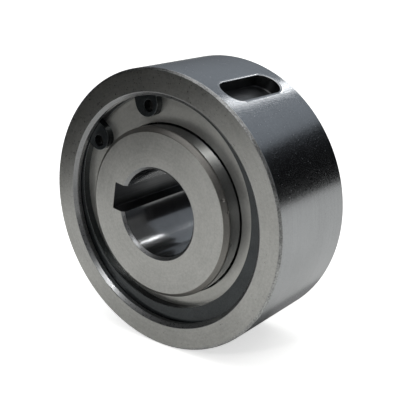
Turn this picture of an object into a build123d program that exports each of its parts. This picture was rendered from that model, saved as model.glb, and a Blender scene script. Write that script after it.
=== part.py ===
from build123d import *
import os
from math import cos, hypot, pi, radians, sin, sqrt

# Sprag clutch with keyed inner and outer rings, in millimetres.
# The clutch axis is Y, the front faces -Y and +Z is up. The origin is on the axis, at mid width.
# Angles are taken in the XZ plane, from +X towards +Z.

# Outer ring: the wall and the seat step inwards from the rim, and leave the space for the rest
outer_diameter = 80.0
outer_width = 32.0
ring_wall = 7.5
plate_seat = 1.8
rim_chamfer = 0.6
counterbore_chamfer = 1.0
groove_setback = 2.35
groove_depth = 1.5

# Key slot in the rim of the outer ring
slot_width = 8.0
slot_end_wall = 4.4
slot_depth = 4.0
slot_angle = 61.2
slot_edge_break = 0.35

# Inner ring
hub_proud = 1.0
inner_edge_chamfer = 1.2
bore_diameter = 25.0
bore_chamfer = 0.6
keyway_width = 8.0
keyway_depth = 3.3
keyway_angle = 170.4
keyway_corner_radius = 0.2

# Cover plates
plate_thickness = 2.0
plate_hole_gap = 0.3
plate_rim_gap = 0.05
plate_edge_break = 0.15

# Circlips
circlip_thickness = 2.5
circlip_side_play = 0.15
circlip_seat_gap = 0.05
circlip_widest = 5.8
circlip_narrowest = 1.6
circlip_edge_break = 0.15
eye_hole_diameter = 3.4
eye_hole_inset = 3.0
eye_hole_spread = 46.0
eye_radius = 3.9
eye_inset = 2.2
eye_spread = 43.0
front_gap_angle = 122.8
rear_gap_angle = 57.2

# Sprags: the space is the height between the races, and the gaps to the next sprag are taken
# on the race that the head or the foot runs on
sprag_count = 28
sprag_space = 6.5
sprag_race_gap = 0.03
sprag_end_gap = 0.3
cam_offset = 0.5
outer_cam_radius = 4.0
inner_cam_radius = 3.4
sprag_lean = 0.25
head_gap = 1.9
foot_gap = 1.2
flank_height = 0.7
waist_hollow = 0.6
sprag_corner_radius = 0.3

# Garter springs, which lie on the stepped ends of the sprags
garter_coil_diameter = 1.6
garter_section_sides = 8
garter_seat_gap = 0.3
garter_side_gap = 0.4
step_height = 0.4

# Radii that follow, from the rim inwards
outer_radius = outer_diameter / 2
counterbore_radius = outer_radius - ring_wall
groove_radius = counterbore_radius + groove_depth
outer_race_radius = counterbore_radius - plate_seat
inner_race_radius = outer_race_radius - sprag_space
pitch_radius = outer_race_radius - sprag_space / 2
bore_radius = bore_diameter / 2

# Distances from mid width that follow, from the face inwards
half_width = outer_width / 2
half_hub = half_width + hub_proud
groove_end = half_width - groove_setback
plate_face = groove_end - circlip_side_play - circlip_thickness
half_race = plate_face - plate_thickness
sprag_half_length = half_race - sprag_end_gap
step_length = garter_coil_diameter + 2 * garter_side_gap

os.makedirs("parts", exist_ok=True)


def radial(angle, radius):
    """Point at an angle and a distance from the clutch axis, at mid width."""
    return (radius * cos(radians(angle)), 0, radius * sin(radians(angle)))


def axis_distance(shape):
    """Distance of a shape's centre from the clutch axis."""
    return hypot(shape.center().X, shape.center().Z)


# Outer ring: one profile turned about the clutch axis, the same front and rear
with BuildPart() as outer_ring:
    with BuildSketch(Plane.XY):
        with BuildLine():
            Polyline(
                (outer_race_radius, 0),
                (outer_race_radius, half_race),
                (counterbore_radius, half_race),
                (counterbore_radius, plate_face),
                (groove_radius, plate_face),
                (groove_radius, groove_end),
                (counterbore_radius, groove_end),
                (counterbore_radius, half_width - counterbore_chamfer),
                (counterbore_radius + counterbore_chamfer, half_width),
                (outer_radius - rim_chamfer, half_width),
                (outer_radius, half_width - rim_chamfer),
                (outer_radius, 0),
            )
            mirror(about=Plane.XZ)
        make_face()
    revolve(axis=Axis.Y)

    # Closed key slot with round ends, as a cutter of the key's width leaves it
    slot_plane = Plane(
        origin=radial(slot_angle, outer_radius - slot_depth),
        x_dir=(0, 1, 0),
        z_dir=radial(slot_angle, 1),
    )
    with BuildSketch(slot_plane):
        SlotOverall(outer_width - 2 * slot_end_wall, slot_width)
    extrude(amount=2 * slot_depth, mode=Mode.SUBTRACT)
    slot_mouth = outer_ring.edges(Select.LAST).filter_by(
        lambda edge: axis_distance(edge) > outer_radius - slot_depth / 4
    )
    chamfer(slot_mouth, slot_edge_break)
outer_ring.part.label = "outer_ring"
export_step(outer_ring.part, "parts/outer_ring.step")

# Inner ring: the hub, whose polished wall is the inner race
with BuildPart() as inner_ring:
    with BuildSketch(Plane.XY):
        with BuildLine():
            Polyline(
                (bore_radius, 0),
                (bore_radius, half_hub - bore_chamfer),
                (bore_radius + bore_chamfer, half_hub),
                (inner_race_radius - inner_edge_chamfer, half_hub),
                (inner_race_radius, half_hub - inner_edge_chamfer),
                (inner_race_radius, 0),
            )
            mirror(about=Plane.XZ)
        make_face()
    revolve(axis=Axis.Y)

    # Keyway broached right through the bore
    keyway_plane = Plane(
        origin=(0, 0, 0), x_dir=radial(keyway_angle, 1), z_dir=(0, -1, 0)
    )
    with BuildSketch(keyway_plane) as keyway_profile:
        Rectangle(bore_radius + keyway_depth, keyway_width, align=(Align.MIN, Align.CENTER))
        fillet(keyway_profile.vertices().group_by(Axis.X)[-1], keyway_corner_radius)
    extrude(amount=half_hub, both=True, mode=Mode.SUBTRACT)
inner_ring.part.label = "inner_ring"
export_step(inner_ring.part, "parts/inner_ring.step")

# Cover plates: flat washers between the counterbore's floor and the circlip
for side, name in ((-1, "front_cover_plate"), (1, "rear_cover_plate")):
    with BuildPart() as cover_plate:
        with BuildSketch(Plane.XZ.offset(-side * half_race)):
            Circle(counterbore_radius - plate_rim_gap)
            Circle(inner_race_radius + plate_hole_gap, mode=Mode.SUBTRACT)
        extrude(amount=-side * plate_thickness)
        chamfer(cover_plate.edges().filter_by(GeomType.CIRCLE), plate_edge_break)
    cover_plate.part.label = name
    export_step(cover_plate.part, f"parts/{name}.step")

# Circlips: the ring is widest opposite its gap and narrow beside its eyes, and each eye reaches
# further past its hole on the side of the gap
circlip_radius = groove_radius - circlip_seat_gap
circlip_inner_radius = circlip_radius - (circlip_widest + circlip_narrowest) / 2
circlip_eccentricity = (circlip_widest - circlip_narrowest) / 2
eye_circle_radius = counterbore_radius - eye_inset
hole_circle_radius = counterbore_radius - eye_hole_inset
for side, name, gap_angle in (
    (-1, "front_circlip", front_gap_angle),
    (1, "rear_circlip", rear_gap_angle),
):
    # The plane's X axis runs through the middle of the gap
    circlip_plane = Plane(
        origin=(0, side * plate_face, 0), x_dir=radial(gap_angle, 1), z_dir=(0, -1, 0)
    )
    with BuildPart() as circlip:
        with BuildSketch(circlip_plane):
            Circle(circlip_radius)
            with Locations((circlip_eccentricity, 0)):
                Circle(circlip_inner_radius, mode=Mode.SUBTRACT)
            with BuildLine():
                gap_start = PolarLine((0, 0), 2 * circlip_radius, -eye_spread / 2)
                gap_end = PolarLine((0, 0), 2 * circlip_radius, eye_spread / 2)
                Line(gap_start @ 1, gap_end @ 1)
            make_face(mode=Mode.SUBTRACT)
            with PolarLocations(eye_circle_radius, 2, -eye_spread / 2, eye_spread, endpoint=True):
                Circle(eye_radius)
                Rectangle(2 * eye_inset, 2 * eye_radius, align=(Align.MIN, Align.CENTER))
            Circle(circlip_radius, mode=Mode.INTERSECT)
            with PolarLocations(
                hole_circle_radius, 2, -eye_hole_spread / 2, eye_hole_spread, endpoint=True
            ):
                Circle(eye_hole_diameter / 2, mode=Mode.SUBTRACT)
        extrude(amount=-side * circlip_thickness)
        chamfer(circlip.edges().filter_by(GeomType.LINE, reverse=True), circlip_edge_break)
    circlip.part.label = name
    export_step(circlip.part, f"parts/{name}.step")

# Sprags: each has an outer cam and an inner cam whose centres are offset to opposite sides, so
# tilting it one way wedges it between the races and tilting it the other way frees it
sprag_half_height = sprag_space / 2 - sprag_race_gap
outer_cam_centre = (cam_offset, sprag_half_height - outer_cam_radius)
inner_cam_centre = (-cam_offset, inner_cam_radius - sprag_half_height)
head_width = 2 * pi * outer_race_radius / sprag_count - head_gap
foot_width = 2 * pi * inner_race_radius / sprag_count - foot_gap
half_waist = foot_width / 2 - waist_hollow


def on_outer_cam(across):
    """Point of the outer cam's arc at a distance across the sprag."""
    reach = across - outer_cam_centre[0]
    return (across, outer_cam_centre[1] + sqrt(outer_cam_radius**2 - reach**2))


def on_inner_cam(across):
    """Point of the inner cam's arc at a distance across the sprag."""
    reach = across - inner_cam_centre[0]
    return (across, inner_cam_centre[1] - sqrt(inner_cam_radius**2 - reach**2))


# The head leans to one side and the foot to the other, with a hollow waist between their flanks
head_left = sprag_lean - head_width / 2
head_right = sprag_lean + head_width / 2
foot_left = -sprag_lean - foot_width / 2
foot_right = -sprag_lean + foot_width / 2
head_shoulder = on_outer_cam(head_left)[1] - flank_height
foot_shoulder = on_inner_cam(foot_right)[1] + flank_height
for number in range(1, sprag_count + 1):
    angle = 90 - (number - 1) * 360 / sprag_count
    # The plane's Y axis points outwards, and its X axis clockwise as seen from the front
    sprag_plane = Plane(
        origin=radial(angle, pitch_radius), x_dir=radial(angle - 90, 1), z_dir=(0, -1, 0)
    )
    with BuildPart() as sprag:
        with BuildSketch(sprag_plane) as sprag_profile:
            with BuildLine():
                ThreePointArc(
                    on_outer_cam(head_left), on_outer_cam(sprag_lean), on_outer_cam(head_right)
                )
                Line(on_outer_cam(head_right), (head_right, head_shoulder))
                ThreePointArc(
                    (head_right, head_shoulder), (half_waist, 0), (foot_right, foot_shoulder)
                )
                Line((foot_right, foot_shoulder), on_inner_cam(foot_right))
                ThreePointArc(
                    on_inner_cam(foot_right), on_inner_cam(-sprag_lean), on_inner_cam(foot_left)
                )
                Line(on_inner_cam(foot_left), (foot_left, foot_shoulder))
                ThreePointArc(
                    (foot_left, foot_shoulder), (-half_waist, 0), (head_left, head_shoulder)
                )
                Line((head_left, head_shoulder), on_outer_cam(head_left))
            make_face()
            fillet(sprag_profile.vertices(), sprag_corner_radius)
        extrude(amount=sprag_half_length, both=True)

        # Both ends are stepped for the garter springs
        for end in (-1, 1):
            with BuildSketch(sprag_plane.offset(-end * (sprag_half_length - step_length))):
                with Locations((0, step_height)):
                    Rectangle(2 * head_width, sprag_space, align=(Align.CENTER, Align.MIN))
            extrude(amount=-end * step_length, mode=Mode.SUBTRACT)
    name = f"sprag_{number:02d}"
    sprag.part.label = name
    export_step(sprag.part, f"parts/{name}.step")

# Garter springs: endless coil springs, drawn as the plain ring that the coils fill
garter_y = sprag_half_length - step_length / 2
garter_radius = pitch_radius + step_height + garter_seat_gap + garter_coil_diameter / 2
for side, name in ((-1, "front_garter_spring"), (1, "rear_garter_spring")):
    with BuildPart() as garter_spring:
        with BuildSketch(Plane.XY):
            with Locations((garter_radius, side * garter_y)):
                RegularPolygon(garter_coil_diameter / 2, garter_section_sides)
        revolve(axis=Axis.Y)
    garter_spring.part.label = name
    export_step(garter_spring.part, f"parts/{name}.step")
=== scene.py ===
from math import cos, pi, radians, sin, sqrt, tan

import bmesh
import bpy
from mathutils import Matrix, Vector


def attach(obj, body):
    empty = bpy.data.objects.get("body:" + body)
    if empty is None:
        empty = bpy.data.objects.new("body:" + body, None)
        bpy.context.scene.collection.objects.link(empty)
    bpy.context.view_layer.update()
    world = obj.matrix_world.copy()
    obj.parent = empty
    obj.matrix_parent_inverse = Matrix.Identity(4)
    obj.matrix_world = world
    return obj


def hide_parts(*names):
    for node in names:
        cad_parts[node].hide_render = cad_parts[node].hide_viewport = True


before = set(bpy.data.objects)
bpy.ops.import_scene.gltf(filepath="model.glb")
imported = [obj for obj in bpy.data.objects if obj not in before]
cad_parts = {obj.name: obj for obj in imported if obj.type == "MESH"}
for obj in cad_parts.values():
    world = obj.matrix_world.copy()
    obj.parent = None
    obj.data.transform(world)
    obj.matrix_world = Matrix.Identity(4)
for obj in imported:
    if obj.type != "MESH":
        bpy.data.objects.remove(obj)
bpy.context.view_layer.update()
print("frame loaded")

# Sprag clutch: ground outer ring and hub, cover plates, circlips, sprags and garter springs.
# Pieces are drawn in millimetres about the clutch axis Y and turned into metres when finished.
# The front faces -Y, and angles run from +X towards +Z.


def linear(code):
    # sRGB hex to the linear colour that the shader takes
    parts = [int(code[i:i + 2], 16) / 255 for i in (1, 3, 5)]
    return tuple(p / 12.92 if p <= 0.04045 else ((p + 0.055) / 1.055) ** 2.4 for p in parts) + (1.0,)


def addNode(tree, kind, values=None, links=None, **settings):
    node = tree.nodes.new(kind)
    for name, value in settings.items():
        setattr(node, name, value)
    for key, value in (values or {}).items():
        node.inputs[key].default_value = value
    for key, socket in (links or {}).items():
        tree.links.new(socket, node.inputs[key])
    return node


# What every steel finish shares: how smooth an oil film lies, the span that nearly all of a noise's values
# lie in, and how wide the soft borders of specks (a share of the noise) and of painted shade spots (in mm) are
finishing = {"oilRoughness": 0.05, "noiseSpan": {"From Min": 0.3, "From Max": 0.7},
             "pitBorder": 0.08, "paintedShadeBorder": 0.4}


def lineCoordinate(tree, place, finish):
    # Stretches a noise into the lines that the tool, the wheel or the broach left
    fine, long = 1000 / finish["lineSize"], 1000 / finish["lineLength"]
    if finish["lay"] == "faced":  # circles about the axis, as facing or face grinding leaves them
        flat = addNode(tree, "ShaderNodeVectorMath", {1: (1, 0, 1)}, {0: place}, operation="MULTIPLY")
        reach = addNode(tree, "ShaderNodeVectorMath", None, {0: flat.outputs[0]}, operation="LENGTH")
        rings = addNode(tree, "ShaderNodeMath", {1: fine}, {0: reach.outputs["Value"]}, operation="MULTIPLY")
        aside = addNode(tree, "ShaderNodeVectorRotate", {"Angle": pi / 2, "Axis": (0, 0, 1)}, {"Vector": place})
        slow = addNode(tree, "ShaderNodeVectorMath", {1: (0, long, long)}, {0: aside.outputs[0]},
                       operation="MULTIPLY")
        onwards = addNode(tree, "ShaderNodeCombineXYZ", None, {"X": rings.outputs[0]})
        return addNode(tree, "ShaderNodeVectorMath", None, {0: slow.outputs[0], 1: onwards.outputs[0]},
                       operation="ADD").outputs[0]
    # round: lines run around the axis; along: lines run parallel to the axis
    scale = {"round": (long, fine, long), "along": (fine, long, fine)}[finish["lay"]]
    return addNode(tree, "ShaderNodeVectorMath", {1: scale}, {0: place}, operation="MULTIPLY").outputs[0]


def steelFinish(finish):
    # Machined steel: tool or grinding lines, a fine grain, and slow changes of tone across the piece
    material = bpy.data.materials.new(finish["name"])
    material.use_nodes = True
    tree = material.node_tree
    shader = tree.nodes["Principled BSDF"]
    shader.inputs["Metallic"].default_value = finish.get("metallic", 1.0)
    shader.inputs["Coat Weight"].default_value = finish.get("oilFilm", 0.0)
    shader.inputs["Coat Roughness"].default_value = finishing["oilRoughness"]
    place = addNode(tree, "ShaderNodeTexCoord").outputs["Object"]
    lines = addNode(tree, "ShaderNodeTexNoise", {"Scale": 1.0, "Detail": 2.0},
                    {"Vector": lineCoordinate(tree, place, finish)}).outputs["Fac"]
    grain = addNode(tree, "ShaderNodeTexNoise", {"Scale": 1000 / finish["grainSize"], "Detail": 3.0},
                    {"Vector": place}).outputs["Fac"]
    cloud = addNode(tree, "ShaderNodeTexNoise", {"Scale": 1000 / finish["cloudSize"], "Detail": 2.0},
                    {"Vector": place}).outputs["Fac"]
    tone = None
    for source, toneName in ((lines, "lineTone"), (grain, "grainTone"), (cloud, "cloudTone")):
        share = finish[toneName]
        part = addNode(tree, "ShaderNodeMapRange", {
            **finishing["noiseSpan"], "To Min": -share, "To Max": share}, {"Value": source}).outputs[0]
        tone = part if tone is None else addNode(tree, "ShaderNodeMath", None, {0: tone, 1: part}).outputs[0]
    level = addNode(tree, "ShaderNodeMath", {1: 1.0}, {0: tone}).outputs[0]
    for spot in finish.get("paintedShadeSpots", ()):  # painted shade that darkens the metal round a point, at the bottom of a blind hole
        away = addNode(tree, "ShaderNodeVectorMath", {1: spot}, {0: place}, operation="DISTANCE")
        size = finish["paintedShadeSize"]
        unshaded = addNode(tree, "ShaderNodeMapRange", {
            "From Min": size / 1000, "From Max": (size + finishing["paintedShadeBorder"]) / 1000,
            "To Min": finish["paintedShadeTone"]}, {"Value": away.outputs["Value"]}).outputs[0]
        level = addNode(tree, "ShaderNodeMath", None, {0: level, 1: unshaded}, operation="MULTIPLY").outputs[0]
    colour = addNode(tree, "ShaderNodeVectorMath", {0: linear(finish["colour"])[:3]}, {"Scale": level},
                     operation="SCALE")
    tree.links.new(colour.outputs[0], shader.inputs["Base Color"])
    low, high = finish["roughness"]
    rough = addNode(tree, "ShaderNodeMapRange", {**finishing["noiseSpan"], "To Min": low, "To Max": high},
                    {"Value": grain})
    if "pitSize" in finish:  # sparse specks of dust and handling, duller than the ground metal
        specks = addNode(tree, "ShaderNodeTexNoise", {"Scale": 1000 / finish["pitSize"], "Detail": 0.0},
                         {"Vector": place}).outputs["Fac"]
        dull = addNode(tree, "ShaderNodeMapRange", {
            "From Min": finish["pitLevel"], "From Max": finish["pitLevel"] + finishing["pitBorder"],
            "To Max": finish["pitRoughness"]}, {"Value": specks})
        rough = addNode(tree, "ShaderNodeMath", None, {0: rough.outputs[0], 1: dull.outputs[0]})
    tree.links.new(rough.outputs[0], shader.inputs["Roughness"])
    lineBump = addNode(tree, "ShaderNodeBump", {"Strength": 1.0, "Distance": finish["lineDepth"] / 1000},
                       {"Height": lines})
    grainBump = addNode(tree, "ShaderNodeBump", {"Strength": 1.0, "Distance": finish["grainDepth"] / 1000},
                        {"Height": grain, "Normal": lineBump.outputs[0]})
    tree.links.new(grainBump.outputs[0], shader.inputs["Normal"])
    return material


# Sizes and depths of the finishes are in mm. Real ground and honed lines are finer, about 0.05 mm apart on
# the rim; they are drawn 0.3 to 0.4 mm apart to show in the render.

# Bearing steel, cylindrically ground on the rim: lines around it and a mild sheen, with sparse specks
rimGround = steelFinish({
    "name": "cylindrically_ground_bearing_steel", "colour": "#a7a9ab", "lay": "round",
    "lineSize": 0.35, "lineLength": 25, "lineTone": 0.05, "lineDepth": 0.004,
    "grainSize": 0.5, "grainTone": 0.08, "grainDepth": 0.006,
    "cloudSize": 14, "cloudTone": 0.05, "roughness": (0.16, 0.24),
    "pitSize": 0.45, "pitLevel": 0.76, "pitRoughness": 0.08})
# The same steel, ground on its faces: a soft grey with a fine mottle and faint circles
faceFinish = {
    "name": "face_ground_bearing_steel", "colour": "#adadaa", "lay": "faced",
    "lineSize": 0.4, "lineLength": 18, "lineTone": 0.05, "lineDepth": 0.002,
    "grainSize": 0.6, "grainTone": 0.1, "grainDepth": 0.002,
    "cloudSize": 9, "cloudTone": 0.07, "roughness": (0.27, 0.34)}
faceGround = steelFinish(faceFinish)
# The hub's faces are ground with a finer wheel: a little lighter, and evenly satin
hubFaceGround = steelFinish(dict(
    faceFinish, name="fine_ground_bearing_steel", colour="#b1b1ae", roughness=(0.28, 0.36)))
# Turned and then hardened inside the counterbore: darker and oiled, with tool lines 0.3 mm apart
turnedSteel = steelFinish({
    "name": "turned_hardened_steel", "colour": "#929394", "lay": "round", "metallic": 0.9,
    "lineSize": 0.3, "lineLength": 30, "lineTone": 0.08, "lineDepth": 0.008,
    "grainSize": 0.5, "grainTone": 0.08, "grainDepth": 0.004,
    "cloudSize": 10, "cloudTone": 0.08, "roughness": (0.26, 0.36), "oilFilm": 0.7})
# The hub's chamfer is hard turned in one pass: satin, and darker than its ground face
hardTurned = steelFinish({
    "name": "hard_turned_chamfer_steel", "colour": "#84827e", "lay": "round", "metallic": 0.9,
    "lineSize": 0.3, "lineLength": 30, "lineTone": 0.08, "lineDepth": 0.002,
    "grainSize": 0.5, "grainTone": 0.08, "grainDepth": 0.0015,
    "cloudSize": 10, "cloudTone": 0.08, "roughness": (0.32, 0.42)})
# Honed race of the hub and the outer ring: almost a mirror, with faint lines around it
honedRace = steelFinish({
    "name": "honed_race_steel", "colour": "#98999a", "lay": "round",
    "lineSize": 0.3, "lineLength": 40, "lineTone": 0.03, "lineDepth": 0.002,
    "grainSize": 0.8, "grainTone": 0.03, "grainDepth": 0.002,
    "cloudSize": 12, "cloudTone": 0.03, "roughness": (0.09, 0.13)})
# Ground bore under a thin oil film: a soft grey sheen with sharp highlights on top
boreGround = steelFinish({
    "name": "internally_ground_steel", "colour": "#7c7d7e", "lay": "round", "metallic": 0.93,
    "lineSize": 0.35, "lineLength": 12, "lineTone": 0.08, "lineDepth": 0.0001,
    "grainSize": 0.5, "grainTone": 0.08, "grainDepth": 0.00005,
    "cloudSize": 7, "cloudTone": 0.08, "roughness": (0.15, 0.2), "oilFilm": 1.0})
# Milled key slot: dull, with cutter marks
slotMilled = steelFinish({
    "name": "milled_slot_steel", "colour": "#525354", "lay": "along",
    "lineSize": 0.6, "lineLength": 8, "lineTone": 0.1, "lineDepth": 0.01,
    "grainSize": 0.4, "grainTone": 0.1, "grainDepth": 0.01,
    "cloudSize": 5, "cloudTone": 0.15, "roughness": (0.34, 0.46), "oilFilm": 0.5})
# Broached keyway: lines along the stroke of the broach
keyBroached = steelFinish({
    "name": "broached_keyway_steel", "colour": "#5a5b5c", "lay": "along",
    "lineSize": 0.4, "lineLength": 30, "lineTone": 0.12, "lineDepth": 0.01,
    "grainSize": 0.5, "grainTone": 0.08, "grainDepth": 0.006,
    "cloudSize": 6, "cloudTone": 0.1, "roughness": (0.3, 0.42)})
# Broken edges: rubbed by handling, and speckled where the stone missed
brokenEdge = steelFinish({
    "name": "stoned_edge_steel", "colour": "#a8a9a8", "lay": "round",
    "lineSize": 0.5, "lineLength": 3, "lineTone": 0.15, "lineDepth": 0.01,
    "grainSize": 0.4, "grainTone": 0.45, "grainDepth": 0.02,
    "cloudSize": 6, "cloudTone": 0.12, "roughness": (0.3, 0.46)})
# Slot edge: broken with a fine stone, smooth and bright
stonedEdge = steelFinish({
    "name": "fine_stoned_slot_edge", "colour": "#b9babb", "lay": "round",
    "lineSize": 0.5, "lineLength": 3, "lineTone": 0.05, "lineDepth": 0.002,
    "grainSize": 0.45, "grainTone": 0.08, "grainDepth": 0.002,
    "cloudSize": 6, "cloudTone": 0.05, "roughness": (0.16, 0.22)})
# Spring steel, manganese phosphated and oiled: nearly black, slightly blue, with a crystalline grain
phosphateFinish = {
    "name": "phosphated_spring_steel", "colour": "#34383a", "lay": "round", "metallic": 0.95,
    "lineSize": 0.5, "lineLength": 6, "lineTone": 0.06, "lineDepth": 0.004,
    "grainSize": 0.35, "grainTone": 0.25, "grainDepth": 0.008,
    "cloudSize": 6, "cloudTone": 0.15, "roughness": (0.3, 0.42), "oilFilm": 0.6}
phosphated = steelFinish(phosphateFinish)
# Its broken edges are rubbed through to the steel by the pliers and the groove
rubbedEdge = steelFinish(dict(
    phosphateFinish, name="rubbed_phosphated_edge", colour="#8d9294", grainTone=0.5))
# Sprags: hardened and tumbled, so their corners are soft and the surface is even
tumbled = steelFinish({
    "name": "tumbled_sprag_steel", "colour": "#9fa1a4", "lay": "along",
    "lineSize": 0.5, "lineLength": 6, "lineTone": 0.04, "lineDepth": 0.004,
    "grainSize": 0.4, "grainTone": 0.08, "grainDepth": 0.008,
    "cloudSize": 5, "cloudTone": 0.08, "roughness": (0.22, 0.32)})
# Patented spring wire: drawn bright and smooth
springWire = steelFinish({
    "name": "drawn_spring_wire", "colour": "#999b9e", "lay": "round",
    "lineSize": 0.3, "lineLength": 6, "lineTone": 0.04, "lineDepth": 0.002,
    "grainSize": 0.4, "grainTone": 0.06, "grainDepth": 0.003,
    "cloudSize": 6, "cloudTone": 0.06, "roughness": (0.18, 0.28)})
print("finishes made")

# Angles between faces, in degrees, past which an edge is broken or shaded as sharp, and how strongly
# large faces pull the shading flat
shading = {"breakPast": 20, "sharpPast": 32, "circlipBreakPast": 50, "flatWeight": 60}
midWidth = 0.001  # the two halves of a mirrored profile meet this far from mid width
onSurface = 0.02  # the centre of a face may lie this far off the surface that it belongs to


def reachOf(point):
    return sqrt(point.x ** 2 + point.z ** 2)


def directions(angle):
    # Outwards from the clutch axis at an angle, and across that, a quarter turn on
    return Vector((cos(angle), 0, sin(angle))), Vector((-sin(angle), 0, cos(angle)))


def turned(profile, edgeBreak, steps, rounded=None):
    # A closed profile of (radius, y) corners turned about the clutch axis, its edges broken; the
    # corner named in rounded, as (radius, y, width), is rounded more on both sides
    form = bmesh.new()
    corners = [form.verts.new((radius, y, 0)) for radius, y in profile]
    for start, end in zip(corners, corners[1:] + corners[:1]):
        form.edges.new((start, end))
    bmesh.ops.spin(form, geom=form.verts[:] + form.edges[:], cent=(0, 0, 0), axis=(0, 1, 0), dvec=(0, 0, 0),
                   angle=2 * pi, steps=steps, use_merge=True, use_duplicate=False)
    bmesh.ops.recalc_face_normals(form, faces=form.faces)
    if rounded:
        radius, y, width = rounded
        soft = [edge for edge in form.edges if all(
            abs(reachOf(vert.co) - radius) < 0.01 and abs(abs(vert.co.y) - y) < 0.01 for vert in edge.verts)]
        bmesh.ops.bevel(form, geom=soft, affect="EDGES", offset=width, offset_type="OFFSET",
                        segments=4, profile=0.5, material=-1)
    sharp = [edge for edge in form.edges if edge.calc_face_angle(0) > radians(shading["breakPast"])]
    bmesh.ops.bevel(form, geom=sharp, affect="EDGES", offset=edgeBreak, offset_type="OFFSET",
                    segments=2, profile=0.5, material=-1, clamp_overlap=True)
    return form


def mirrored(halfProfile):
    # One half of a profile, from mid width outwards, closed by the same half on the other side
    return halfProfile + [(radius, -y) for radius, y in reversed(halfProfile)]


def toObject(form, name, place=Matrix.Identity(4)):
    mesh = bpy.data.meshes.new(name)
    form.to_mesh(mesh)
    form.free()
    mesh.transform(place)
    piece = bpy.data.objects.new(name, mesh)
    bpy.context.scene.collection.objects.link(piece)
    return piece


def applied(piece):
    # The piece's modifiers become its mesh
    view = bpy.context.evaluated_depsgraph_get()
    view.update()
    old = piece.data
    piece.data = bpy.data.meshes.new_from_object(piece.evaluated_get(view))
    piece.modifiers.clear()
    bpy.data.meshes.remove(old)


def combined(piece, others):
    # Cuts, joins or keeps what is common with each other form in turn; the others are used up
    for operation, other in others:
        change = piece.modifiers.new("combine", "BOOLEAN")
        change.operation, change.solver, change.object = operation, "EXACT", other
    applied(piece)
    for _, other in others:
        bpy.data.objects.remove(other)


def inSlot(angle):
    # u across, v along the axis, w outwards at an angle of the clutch
    out, across = directions(angle)
    return Matrix((across, (0, -1, 0), out)).transposed().to_4x4()


def inFace(angle):
    # u outwards at an angle of the clutch, v a quarter turn on, w towards the front
    out, across = directions(angle)
    return Matrix((out, across, (0, -1, 0))).transposed().to_4x4()


def disc(name, radius, low, high, steps, place, centre=(0, 0)):
    form = bmesh.new()
    bmesh.ops.create_cone(form, cap_ends=True, segments=steps, radius1=radius, radius2=radius,
                          depth=high - low)
    bmesh.ops.translate(form, verts=form.verts, vec=(centre[0], centre[1], (low + high) / 2))
    return toObject(form, name, place)


def block(name, low, high, place):
    form = bmesh.new()
    bmesh.ops.create_cube(form, size=1.0)
    bmesh.ops.scale(form, verts=form.verts, vec=[high[i] - low[i] for i in range(3)])
    bmesh.ops.translate(form, verts=form.verts, vec=[(high[i] + low[i]) / 2 for i in range(3)])
    return toObject(form, name, place)


def finished(piece, finishes, zone):
    # Smooth shading between real edges, a finish for each zone, and metres instead of millimetres
    for finish in finishes:
        piece.data.materials.append(finish)
    for face in piece.data.polygons:
        face.use_smooth = True
        face.material_index = zone(face.center, face.normal)
    piece.data.set_sharp_from_angle(angle=radians(shading["sharpPast"]))
    weigh = piece.modifiers.new("flat faces", "WEIGHTED_NORMAL")
    weigh.keep_sharp, weigh.mode, weigh.weight = True, "FACE_AREA", shading["flatWeight"]
    applied(piece)
    piece.data.transform(Matrix.Scale(0.001, 4))
    return piece


# Outer ring with the closed key slot in its rim
ring = {
    "rimRadius": 40.0, "face": 16.0, "rimChamfer": 0.6,
    "counterbore": 32.5, "counterboreChamfer": 1.0,
    "groove": 34.0, "grooveStart": 11.0, "grooveEnd": 13.65,
    "race": 30.7, "raceEnd": 9.0,
    "edgeBreak": 0.12, "steps": 360,
    "slotAngle": 61.2, "slotWidth": 8.0, "slotLength": 23.2, "slotFloor": 36.0, "slotCorner": 0.25,
    # the slot's mouth is broken this deep, rounded by (outwards, below the rim) as shares of that
    # depth, and stoned to a slope outside it
    "slotMouth": 0.35, "slotRound": [(0.12, 0.65), (0.5, 0.36)], "slotFlat": 0.6, "slotFlatAngle": 12.0,
    "slotSteps": 72,
    # faces within this distance of the slot's middle, and this far along, belong to it
    "slotZone": 14.0, "slotZoneEnd": 13.5,
}
ringHalf = [(ring["race"], midWidth), (ring["race"], ring["raceEnd"]), (ring["counterbore"], ring["raceEnd"]),
            (ring["counterbore"], ring["grooveStart"]), (ring["groove"], ring["grooveStart"]),
            (ring["groove"], ring["grooveEnd"]), (ring["counterbore"], ring["grooveEnd"]),
            (ring["counterbore"], ring["face"] - ring["counterboreChamfer"]),
            (ring["counterbore"] + ring["counterboreChamfer"], ring["face"]),
            (ring["rimRadius"] - ring["rimChamfer"], ring["face"]),
            (ring["rimRadius"], ring["face"] - ring["rimChamfer"]), (ring["rimRadius"], midWidth)]
outerRing = toObject(turned(mirrored(ringHalf), ring["edgeBreak"], ring["steps"]), "ground_outer_ring")

# The cutter is a round pocket pulled out along the axis; its mouth flares to break the slot's edge
slotHalf = ring["slotWidth"] / 2
slotStraight = (ring["slotLength"] - ring["slotWidth"]) / 2
slotFloor, slotCorner, slotMouth = ring["slotFloor"], ring["slotCorner"], ring["slotMouth"]
slotProfile = [(0, slotFloor), (slotHalf - slotCorner, slotFloor), (slotHalf, slotFloor + slotCorner),
               (slotHalf, ring["rimRadius"] - slotMouth)]
slotProfile += [(slotHalf + outwards * slotMouth, ring["rimRadius"] - below * slotMouth)
                for outwards, below in ring["slotRound"]]
flareHalf, flareStart = slotProfile[-1]
flareTop = flareStart + 2 * ring["slotFlat"] * tan(radians(ring["slotFlatAngle"]))
slotProfile += [(flareHalf + 2 * ring["slotFlat"], flareTop), (0, flareTop)]
cutter = bmesh.new()
knots = [cutter.verts.new((radius, 0, height)) for radius, height in slotProfile]
for start, end in zip(knots, knots[1:]):
    cutter.edges.new((start, end))
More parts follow.
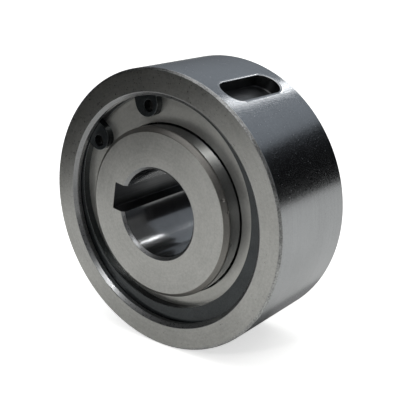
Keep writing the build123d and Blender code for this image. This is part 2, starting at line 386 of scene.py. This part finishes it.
bmesh.ops.spin(cutter, geom=cutter.verts[:] + cutter.edges[:], cent=(0, 0, 0), axis=(0, 0, 1), dvec=(0, 0, 0),
               angle=2 * pi, steps=ring["slotSteps"], use_merge=True, use_duplicate=False)
bmesh.ops.remove_doubles(cutter, verts=cutter.verts, dist=1e-4)
halfStep = radians(180 / ring["slotSteps"])
bmesh.ops.rotate(cutter, verts=cutter.verts, cent=(0, 0, 0), matrix=Matrix.Rotation(halfStep, 3, "Z"))
for vert in cutter.verts:
    offAxis = vert.co.xy.length
    if vert.co.z > slotFloor + slotCorner + 0.1 and offAxis > 1:  # the mouth follows the rim's curve
        vert.co.z -= ring["rimRadius"] - sqrt(ring["rimRadius"] ** 2 - vert.co.x ** 2)
    if offAxis > 0.01:  # and the two round ends part
        vert.co.y += slotStraight if vert.co.y > 0 else -slotStraight
bmesh.ops.recalc_face_normals(cutter, faces=cutter.faces)
slotCutter = toObject(cutter, "slot_cutter", inSlot(radians(ring["slotAngle"])))
combined(outerRing, [("DIFFERENCE", slotCutter)])
slotOut = directions(radians(ring["slotAngle"]))[0]
ringFinishes = [rimGround, faceGround, turnedSteel, slotMilled, brokenEdge, honedRace, stonedEdge]


def ringZone(centre, normal):
    # Place in ringFinishes of the finish that a face gets
    reach, along, outwards = reachOf(centre), abs(centre.y), centre.dot(slotOut)
    atSlot = (outwards > slotFloor - 1 and (centre - slotOut * outwards).length < ring["slotZone"]
              and along < ring["slotZoneEnd"])
    if atSlot and reach < ring["rimRadius"] - slotMouth - onSurface:
        return 3
    if atSlot and abs(normal.dot(centre)) < 0.996 * reach:  # leans more than 5 degrees off the rim
        return 6
    if reach > ring["rimRadius"] - onSurface and along < ring["face"] - ring["rimChamfer"]:
        return 0
    if abs(normal.y) > 0.98 and reach > ring["counterbore"] and along > ring["face"] - 0.1:
        return 1
    if along > ring["face"] - ring["rimChamfer"] - 0.2 and reach > ring["rimRadius"] - 1:
        return 4
    if reach < ring["race"] + 0.2 and along < ring["raceEnd"]:
        return 5
    return 2


finished(outerRing, ringFinishes, ringZone)
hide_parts("outer_ring")
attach(outerRing, "outer_body")
print("outer ring made")

# Inner ring with its keyed bore
hub = {
    "race": 24.2, "face": 17.0, "edgeChamfer": 1.2,
    "bore": 12.5, "boreChamfer": 0.8,
    "edgeBreak": 0.1, "wallRounding": 0.3, "steps": 240,
    "keyAngle": 170.4, "keyWidth": 8.0, "keyDepth": 3.3, "keyCorner": 0.2,
    # small dents in the front edge from handling: angle, radius, place along the axis, size
    "nicks": [(20.0, 23.9, 16.45, 0.6), (12.0, 24.3, 15.9, 0.5), (-10.0, 24.75, 15.0, 0.7),
              (-14.0, 23.5, 17.45, 0.8), (242.0, 23.0, 17.1, 0.4)],
    # the keyway's finish reaches this far past its edges, and the bore's chamfer this far from the bore
    "keyZone": 0.7, "boreEdgeZone": 1.2,
}
hubHalf = [(hub["bore"], midWidth), (hub["bore"], hub["face"] - hub["boreChamfer"]),
           (hub["bore"] + hub["boreChamfer"], hub["face"]), (hub["race"] - hub["edgeChamfer"], hub["face"]),
           (hub["race"], hub["face"] - hub["edgeChamfer"]), (hub["race"], midWidth)]
wallCorner = (hub["race"], hub["face"] - hub["edgeChamfer"], hub["wallRounding"])
innerRing = toObject(turned(mirrored(hubHalf), hub["edgeBreak"], hub["steps"], wallCorner),
                     "ground_inner_ring")
key = bmesh.new()
bmesh.ops.create_cube(key, size=1.0)
bmesh.ops.scale(key, verts=key.verts, vec=(hub["bore"] + hub["keyDepth"], hub["keyWidth"], 3 * hub["face"]))
bmesh.ops.translate(key, verts=key.verts, vec=((hub["bore"] + hub["keyDepth"]) / 2, 0, 0))
keyCorners = [edge for edge in key.edges if all(vert.co.x > 1 for vert in edge.verts)
              and abs(edge.verts[0].co.z - edge.verts[1].co.z) > 1]
bmesh.ops.bevel(key, geom=keyCorners, affect="EDGES", offset=hub["keyCorner"], offset_type="OFFSET",
                segments=3, profile=0.5, material=-1)
keyCutter = toObject(key, "key_cutter", inFace(radians(hub["keyAngle"])))
nicks = []
for angle, radius, depthAlong, size in hub["nicks"]:
    dent = bmesh.new()
    bmesh.ops.create_icosphere(dent, subdivisions=2, radius=size)
    bmesh.ops.translate(dent, verts=dent.verts, vec=(radius, 0, depthAlong))
    nicks.append(("DIFFERENCE", toObject(dent, "nick", inFace(radians(angle)))))
combined(innerRing, [("DIFFERENCE", keyCutter)] + nicks)
keyOut, keyAcross = directions(radians(hub["keyAngle"]))
hubFinishes = [hubFaceGround, honedRace, boreGround, keyBroached, turnedSteel, hardTurned]


def inKeyway(point):
    return (point.dot(keyOut) > 0 and abs(point.dot(keyAcross)) < hub["keyWidth"] / 2 + onSurface
            and reachOf(point) > hub["bore"] + onSurface)


def hubZone(centre, normal):
    # Place in hubFinishes of the finish that a face gets
    reach = reachOf(centre)
    if inKeyway(centre) and abs(normal.y) < 0.5 and reach < hub["bore"] + hub["keyDepth"] + hub["keyZone"]:
        if reach > hub["bore"] + hub["keyZone"] or abs(normal.dot(keyAcross)) > 0.9:
            return 3
    if reach > hub["race"] - 0.01:
        return 1
    if reach < hub["bore"] + onSurface:
        return 2
    if abs(normal.y) > 0.98:
        return 0
    return 4 if reach < hub["bore"] + hub["boreEdgeZone"] else 5


finished(innerRing, hubFinishes, hubZone)
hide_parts("inner_ring")
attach(innerRing, "hub")
print("inner ring made")

# Circlips: an eccentric ring with a gap between two eyes
circlip = {
    "radius": 33.95, "inside": 30.25, "offset": 2.1, "back": 11.0, "thickness": 2.5,
    "eyeCircle": 30.3, "eyeRadius": 3.9, "eyeSpread": 43.0, "eyeSteps": 48, "flank": 6.0,
    "holeCircle": 29.5, "holeRadius": 1.7, "holeSpread": 46.0, "holeSteps": 40,
    "edgeBreak": 0.18, "steps": 240, "frontGap": 122.8, "rearGap": 57.2,
    "cutPast": 1.0, "gapReach": 80.0,  # cutters reach this far past the faces, and this far outwards
}


def gapWedge(low, high, spread, place):
    # A three-sided prism with its tip on the clutch axis, which opens the gap between the eyes
    wedge = bmesh.new()
    bmesh.ops.create_cone(wedge, cap_ends=True, segments=3, radius1=1, radius2=1, depth=high - low)
    across, upwards = circlip["gapReach"] * cos(spread), circlip["gapReach"] * sin(spread)
    tips = sorted({(round(vert.co.x, 4), round(vert.co.y, 4)) for vert in wedge.verts})
    targets = dict(zip(tips, ((across, -upwards), (across, upwards), (0, 0))))
    for vert in wedge.verts:
        x, y = targets[(round(vert.co.x, 4), round(vert.co.y, 4))]
        vert.co = (x, y, vert.co.z + (low + high) / 2)
    bmesh.ops.recalc_face_normals(wedge, faces=wedge.faces)
    return toObject(wedge, "gap_wedge", place)


def makeCirclip(side, sideName):
    # Drawn at the front; the rear one is the same after half a turn about the upright axis
    gap, spread = radians(circlip["frontGap"]), radians(circlip["eyeSpread"] / 2)
    place = inFace(gap)
    low, high = circlip["back"], circlip["back"] + circlip["thickness"]
    under, over = low - circlip["cutPast"], high + circlip["cutPast"]
    snapRing = disc(sideName + "_phosphated_circlip", circlip["radius"], low, high, circlip["steps"], place)
    inside = disc("inside", circlip["inside"], under, over, circlip["steps"], place, (circlip["offset"], 0))
    changes = [("DIFFERENCE", inside), ("DIFFERENCE", gapWedge(under, over, spread, place))]
    for turn in (-spread, spread):
        eyePlace = inFace(gap + turn)
        eye = disc("eye", circlip["eyeRadius"], low, high, circlip["eyeSteps"], eyePlace,
                   (circlip["eyeCircle"], 0))
        flank = block("flank", (circlip["eyeCircle"], -circlip["eyeRadius"], low),
                      (circlip["eyeCircle"] + circlip["flank"], circlip["eyeRadius"], high), eyePlace)
        changes += [("UNION", eye), ("UNION", flank)]
    trim = disc("trim", circlip["radius"], under, over, circlip["steps"], place)
    changes.append(("INTERSECT", trim))
    holeTurn = radians(circlip["holeSpread"] / 2)
    for turn in (-holeTurn, holeTurn):
        hole = disc("hole", circlip["holeRadius"], under, over, circlip["holeSteps"], inFace(gap + turn),
                    (circlip["holeCircle"], 0))
        changes.append(("DIFFERENCE", hole))
    combined(snapRing, changes)
    soften = snapRing.modifiers.new("broken edges", "BEVEL")
    soften.width, soften.segments = circlip["edgeBreak"], 2
    soften.limit_method, soften.angle_limit = "ANGLE", radians(shading["circlipBreakPast"])
    soften.use_clamp_overlap = False
    applied(snapRing)
    if side > 0:
        snapRing.data.transform(Matrix.Rotation(pi, 4, "Z"))
    return finished(snapRing, [phosphated, rubbedEdge],
                    lambda centre, normal: 1 if 0.3 < abs(normal.y) < 0.9 else 0)


# Cover plates, of cold rolled strip, stamped and tumbled: satin, with soft patches, and with painted shade at
# the bottoms of the four blind holes under the circlip eyes
plate = {"rim": 32.45, "hole": 24.5, "inside": 9.0, "thickness": 2.0, "edgeBreak": 0.15, "steps": 240}
eyeBottoms = []
for side, gap in ((-1, circlip["frontGap"]), (1, circlip["rearGap"])):
    for turn in (-circlip["holeSpread"] / 2, circlip["holeSpread"] / 2):
        angle = radians(gap + turn)
        eyeBottoms.append((circlip["holeCircle"] * cos(angle) / 1000, side * circlip["back"] / 1000,
                           circlip["holeCircle"] * sin(angle) / 1000))
# Its dark spots under the circlip eye holes are painted shade
plateSteel = steelFinish({
    "name": "cold_rolled_strip_steel", "colour": "#b4b4b0", "lay": "faced", "metallic": 0.8,
    "lineSize": 0.5, "lineLength": 10, "lineTone": 0.04, "lineDepth": 0.001,
    "grainSize": 0.7, "grainTone": 0.07, "grainDepth": 0.001,
    "cloudSize": 8, "cloudTone": 0.07, "roughness": (0.3, 0.36),
    "paintedShadeSpots": eyeBottoms, "paintedShadeSize": circlip["holeRadius"], "paintedShadeTone": 0.12})


def makeCoverPlate(side, sideName):
    near, far = plate["inside"], plate["inside"] + plate["thickness"]
    profile = [(plate["hole"], side * near), (plate["rim"], side * near),
               (plate["rim"], side * far), (plate["hole"], side * far)]
    coverPlate = toObject(turned(profile, plate["edgeBreak"], plate["steps"]), sideName + "_strip_cover_plate")
    return finished(coverPlate, [plateSteel], lambda centre, normal: 0)


# Garter springs: a wound wire closed into a ring
garter = {"radius": 28.95, "y": 7.5, "coil": 0.8, "wire": 0.17, "turns": 220, "pointsPerTurn": 8}


def makeGarterSpring(side, sideName):
    coil = bpy.data.curves.new(sideName + "_wound_garter_spring", "CURVE")
    coil.dimensions, coil.bevel_depth, coil.bevel_resolution = "3D", garter["wire"] / 1000, 0
    wire = coil.splines.new("POLY")
    count = garter["turns"] * garter["pointsPerTurn"]
    winding = garter["coil"] - garter["wire"]  # radius of the wire's middle line
    wire.points.add(count - 1)
    for index, point in enumerate(wire.points):
        about, around = 2 * pi * index / count, 2 * pi * index / garter["pointsPerTurn"]
        reach = garter["radius"] + winding * cos(around)
        depth = side * garter["y"] + winding * sin(around)
        point.co = (reach * cos(about) / 1000, depth / 1000, reach * sin(about) / 1000, 1)
    wire.use_cyclic_u = True
    coilObject = bpy.data.objects.new("coil", coil)
    bpy.context.scene.collection.objects.link(coilObject)
    bpy.context.view_layer.update()
    mesh = bpy.data.meshes.new_from_object(coilObject.evaluated_get(bpy.context.evaluated_depsgraph_get()))
    bpy.data.objects.remove(coilObject)
    mesh.materials.clear()
    mesh.materials.append(springWire)
    for face in mesh.polygons:
        face.use_smooth = True
    spring = bpy.data.objects.new(sideName + "_wound_garter_spring", mesh)
    bpy.context.scene.collection.objects.link(spring)
    return spring


for side, sideName in ((-1, "front"), (1, "rear")):
    coverPlate = makeCoverPlate(side, sideName)
    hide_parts(sideName + "_cover_plate")
    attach(coverPlate, "outer_body")
    snapRing = makeCirclip(side, sideName)
    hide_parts(sideName + "_circlip")
    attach(snapRing, "outer_body")
    spring = makeGarterSpring(side, sideName)
    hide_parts(sideName + "_garter_spring")
    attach(spring, "outer_body")
    print(sideName, "plate, circlip and garter spring made")

# Sprags keep their solids and get the tumbled finish
for name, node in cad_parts.items():
    if name.startswith("sprag_"):
        for slot in node.material_slots:
            slot.material = tumbled
print("sprags finished")

# Stage: a pale floor, soft light from above and behind, dark flags that only reflections see, and grey cards on
# the floor that paint shade there for reflections only
stage = {
    "floorLevel": -0.04, "floorSize": 12.0, "floorColour": "#f4f4f2",
    "backColour": "#9fa5ac", "frontColour": "#2c2d30", "fillColour": "#a8a8a8", "paperGlow": 0.6,
}
floorMesh = bmesh.new()
bmesh.ops.create_grid(floorMesh, x_segments=4, y_segments=4, size=stage["floorSize"] / 2)
floor = toObject(floorMesh, "floor", Matrix.Translation((0, 0, stage["floorLevel"])))
floorPaper = bpy.data.materials.new("matt_paper_floor")
floorPaper.use_nodes = True
paperTree = floorPaper.node_tree
paper = paperTree.nodes["Principled BSDF"].inputs
paper["Base Color"].default_value = linear(stage["floorColour"])
paper["Roughness"].default_value = 0.9
paper["Specular IOR Level"].default_value = 0.0
paper["Emission Color"].default_value = (1, 1, 1, 1)
glow = addNode(paperTree, "ShaderNodeMath", {1: stage["paperGlow"]},
               {0: addNode(paperTree, "ShaderNodeLightPath").outputs["Is Camera Ray"]}, operation="MULTIPLY")
paperTree.links.new(glow.outputs[0], paper["Emission Strength"])
floor.data.materials.append(floorPaper)


def facing(place, target=(0, 0, 0)):
    # Stands at a place with its local -Z towards the target
    turn = (Vector(target) - Vector(place)).to_track_quat("-Z", "Y")
    return Matrix.Translation(place) @ turn.to_matrix().to_4x4()


def flag(name, place, width, height, target=(0, 0, 0), colour="#0a0a0b"):
    # A sheet of matt cloth or card that only reflections see
    cloth = bpy.data.materials.new(name.replace(" ", "_"))
    cloth.use_nodes = True
    shader = cloth.node_tree.nodes["Principled BSDF"]
    shader.inputs["Base Color"].default_value = linear(colour)
    shader.inputs["Roughness"].default_value = 1.0
    shader.inputs["Specular IOR Level"].default_value = 0.0
    form = bmesh.new()
    bmesh.ops.create_grid(form, x_segments=1, y_segments=1, size=0.5)
    bmesh.ops.scale(form, verts=form.verts, vec=(width, height, 1))
    piece = toObject(form, name, facing(place, target))
    piece.data.materials.append(cloth)
    piece.visible_camera = piece.visible_diffuse = piece.visible_shadow = False


def softbox(name, place, width, height, power, target=(0, 0, 0)):
    data = bpy.data.lights.new(name, "AREA")
    data.shape, data.size, data.size_y, data.energy = "RECTANGLE", width, height, power
    lamp = bpy.data.objects.new(name, data)
    lamp.matrix_world = facing(place, target)
    bpy.context.scene.collection.objects.link(lamp)
    return lamp


softbox("overhead softbox", (0, 0.1, 1.5), 2.2, 2.2, 14)
softbox("rear lamp", (-0.03, 0.82, 0.575), 0.10, 0.14, 0.17)
softbox("front lamp", (0.099, -0.638, 0.612), 0.03, 0.03, 0.3)
softbox("front top panel", (0.141, -0.717, 0.525), 0.08, 0.08, 1.0)
# A narrow lamp for the bright line in the bore, which lights the hub alone
boreLamp = softbox("bore lamp", (0.055, 0.088, -0.039), 0.0012, 0.011, 0.0005, (-0.003, 0.0097, 0.012))
boreLamp.data.spread = radians(14)
boreOnly = bpy.data.collections.new("lit by the bore lamp")
boreOnly.objects.link(innerRing)
boreLamp.light_linking.receiver_collection = boreOnly
# Dark flags in front and behind, and grey cards on the floor that only reflections see: painted floor shade in
# front to the right, and a painted contact shadow under the clutch
flag("left flag", (-0.143, -0.10, 0.16), 0.36, 0.40, (0.6, -0.18, 0.16))
flag("front left flag", (0.01, -0.34, 0.16), 0.44, 0.40, (0.23, 0.2, 0.16))
flag("rear right flag", (0.53, 0.73, 0.2), 0.56, 0.47, (0, 0, 0.2))
# A grey card in front to the right: painted shade on the floor, seen only in reflections
flag("painted floor shade card", (0.15, -0.14, -0.0395), 0.22, 0.18, (0.15, -0.14, -1), "#949494")
# A grey card under the clutch: a painted contact shadow, seen only in reflections
flag("painted contact shadow card", (0.019, 0.022, -0.0395), 0.022, 0.07, (0.019, 0.022, -1), "#b0b0b0")

# The studio: white paper to the camera, soft fill for the floor, and a blue-grey room that the steel
# reflects, light behind and dark in front
world = bpy.data.worlds.new("grey studio")
bpy.context.scene.world = world
world.use_nodes = True
worldTree = world.node_tree
direction = addNode(worldTree, "ShaderNodeTexCoord").outputs["Generated"]
towards = addNode(worldTree, "ShaderNodeSeparateXYZ", None, {0: direction}).outputs
behind = addNode(worldTree, "ShaderNodeMapRange", {"From Min": -0.1, "From Max": 0.5},
                 {"Value": towards["Y"]}).outputs[0]
lift = addNode(worldTree, "ShaderNodeMapRange",
               {"From Min": 0.1, "From Max": 0.5, "To Min": 0.4, "To Max": 1.0},
               {"Value": towards["Z"]}).outputs[0]
wall = addNode(worldTree, "ShaderNodeMath", None, {0: behind, 1: lift}, operation="MULTIPLY").outputs[0]
room = addNode(worldTree, "ShaderNodeMix", {6: linear(stage["frontColour"]), 7: linear(stage["backColour"])},
               {0: wall}, data_type="RGBA").outputs[2]
rays = addNode(worldTree, "ShaderNodeLightPath").outputs
filled = addNode(worldTree, "ShaderNodeMix", {7: linear(stage["fillColour"])},
                 {0: rays["Is Diffuse Ray"], 6: room}, data_type="RGBA").outputs[2]
seen = addNode(worldTree, "ShaderNodeMix", {7: (1, 1, 1, 1)}, {0: rays["Is Camera Ray"], 6: filled},
               data_type="RGBA").outputs[2]
worldTree.links.new(seen, worldTree.nodes["Background"].inputs["Color"])

# The camera stands in front to the right and a little above, as it did for the photograph
camera = {"place": (0.14061, -0.178415, 0.070993), "down": 17.3732, "turn": 37.8188, "lens": 73.84,
          "sensor": 36.0, "nearest": 0.01, "furthest": 50.0}
cameraData = bpy.data.cameras.new("camera")
cameraData.lens, cameraData.sensor_width = camera["lens"], camera["sensor"]
cameraData.clip_start, cameraData.clip_end = camera["nearest"], camera["furthest"]
cameraObject = bpy.data.objects.new("camera", cameraData)
cameraObject.location = camera["place"]
cameraObject.rotation_euler = (radians(90 - camera["down"]), 0, radians(camera["turn"]))
bpy.context.scene.collection.objects.link(cameraObject)
bpy.context.scene.camera = cameraObject
bpy.context.scene.view_settings.view_transform = "Standard"
print("stage set")
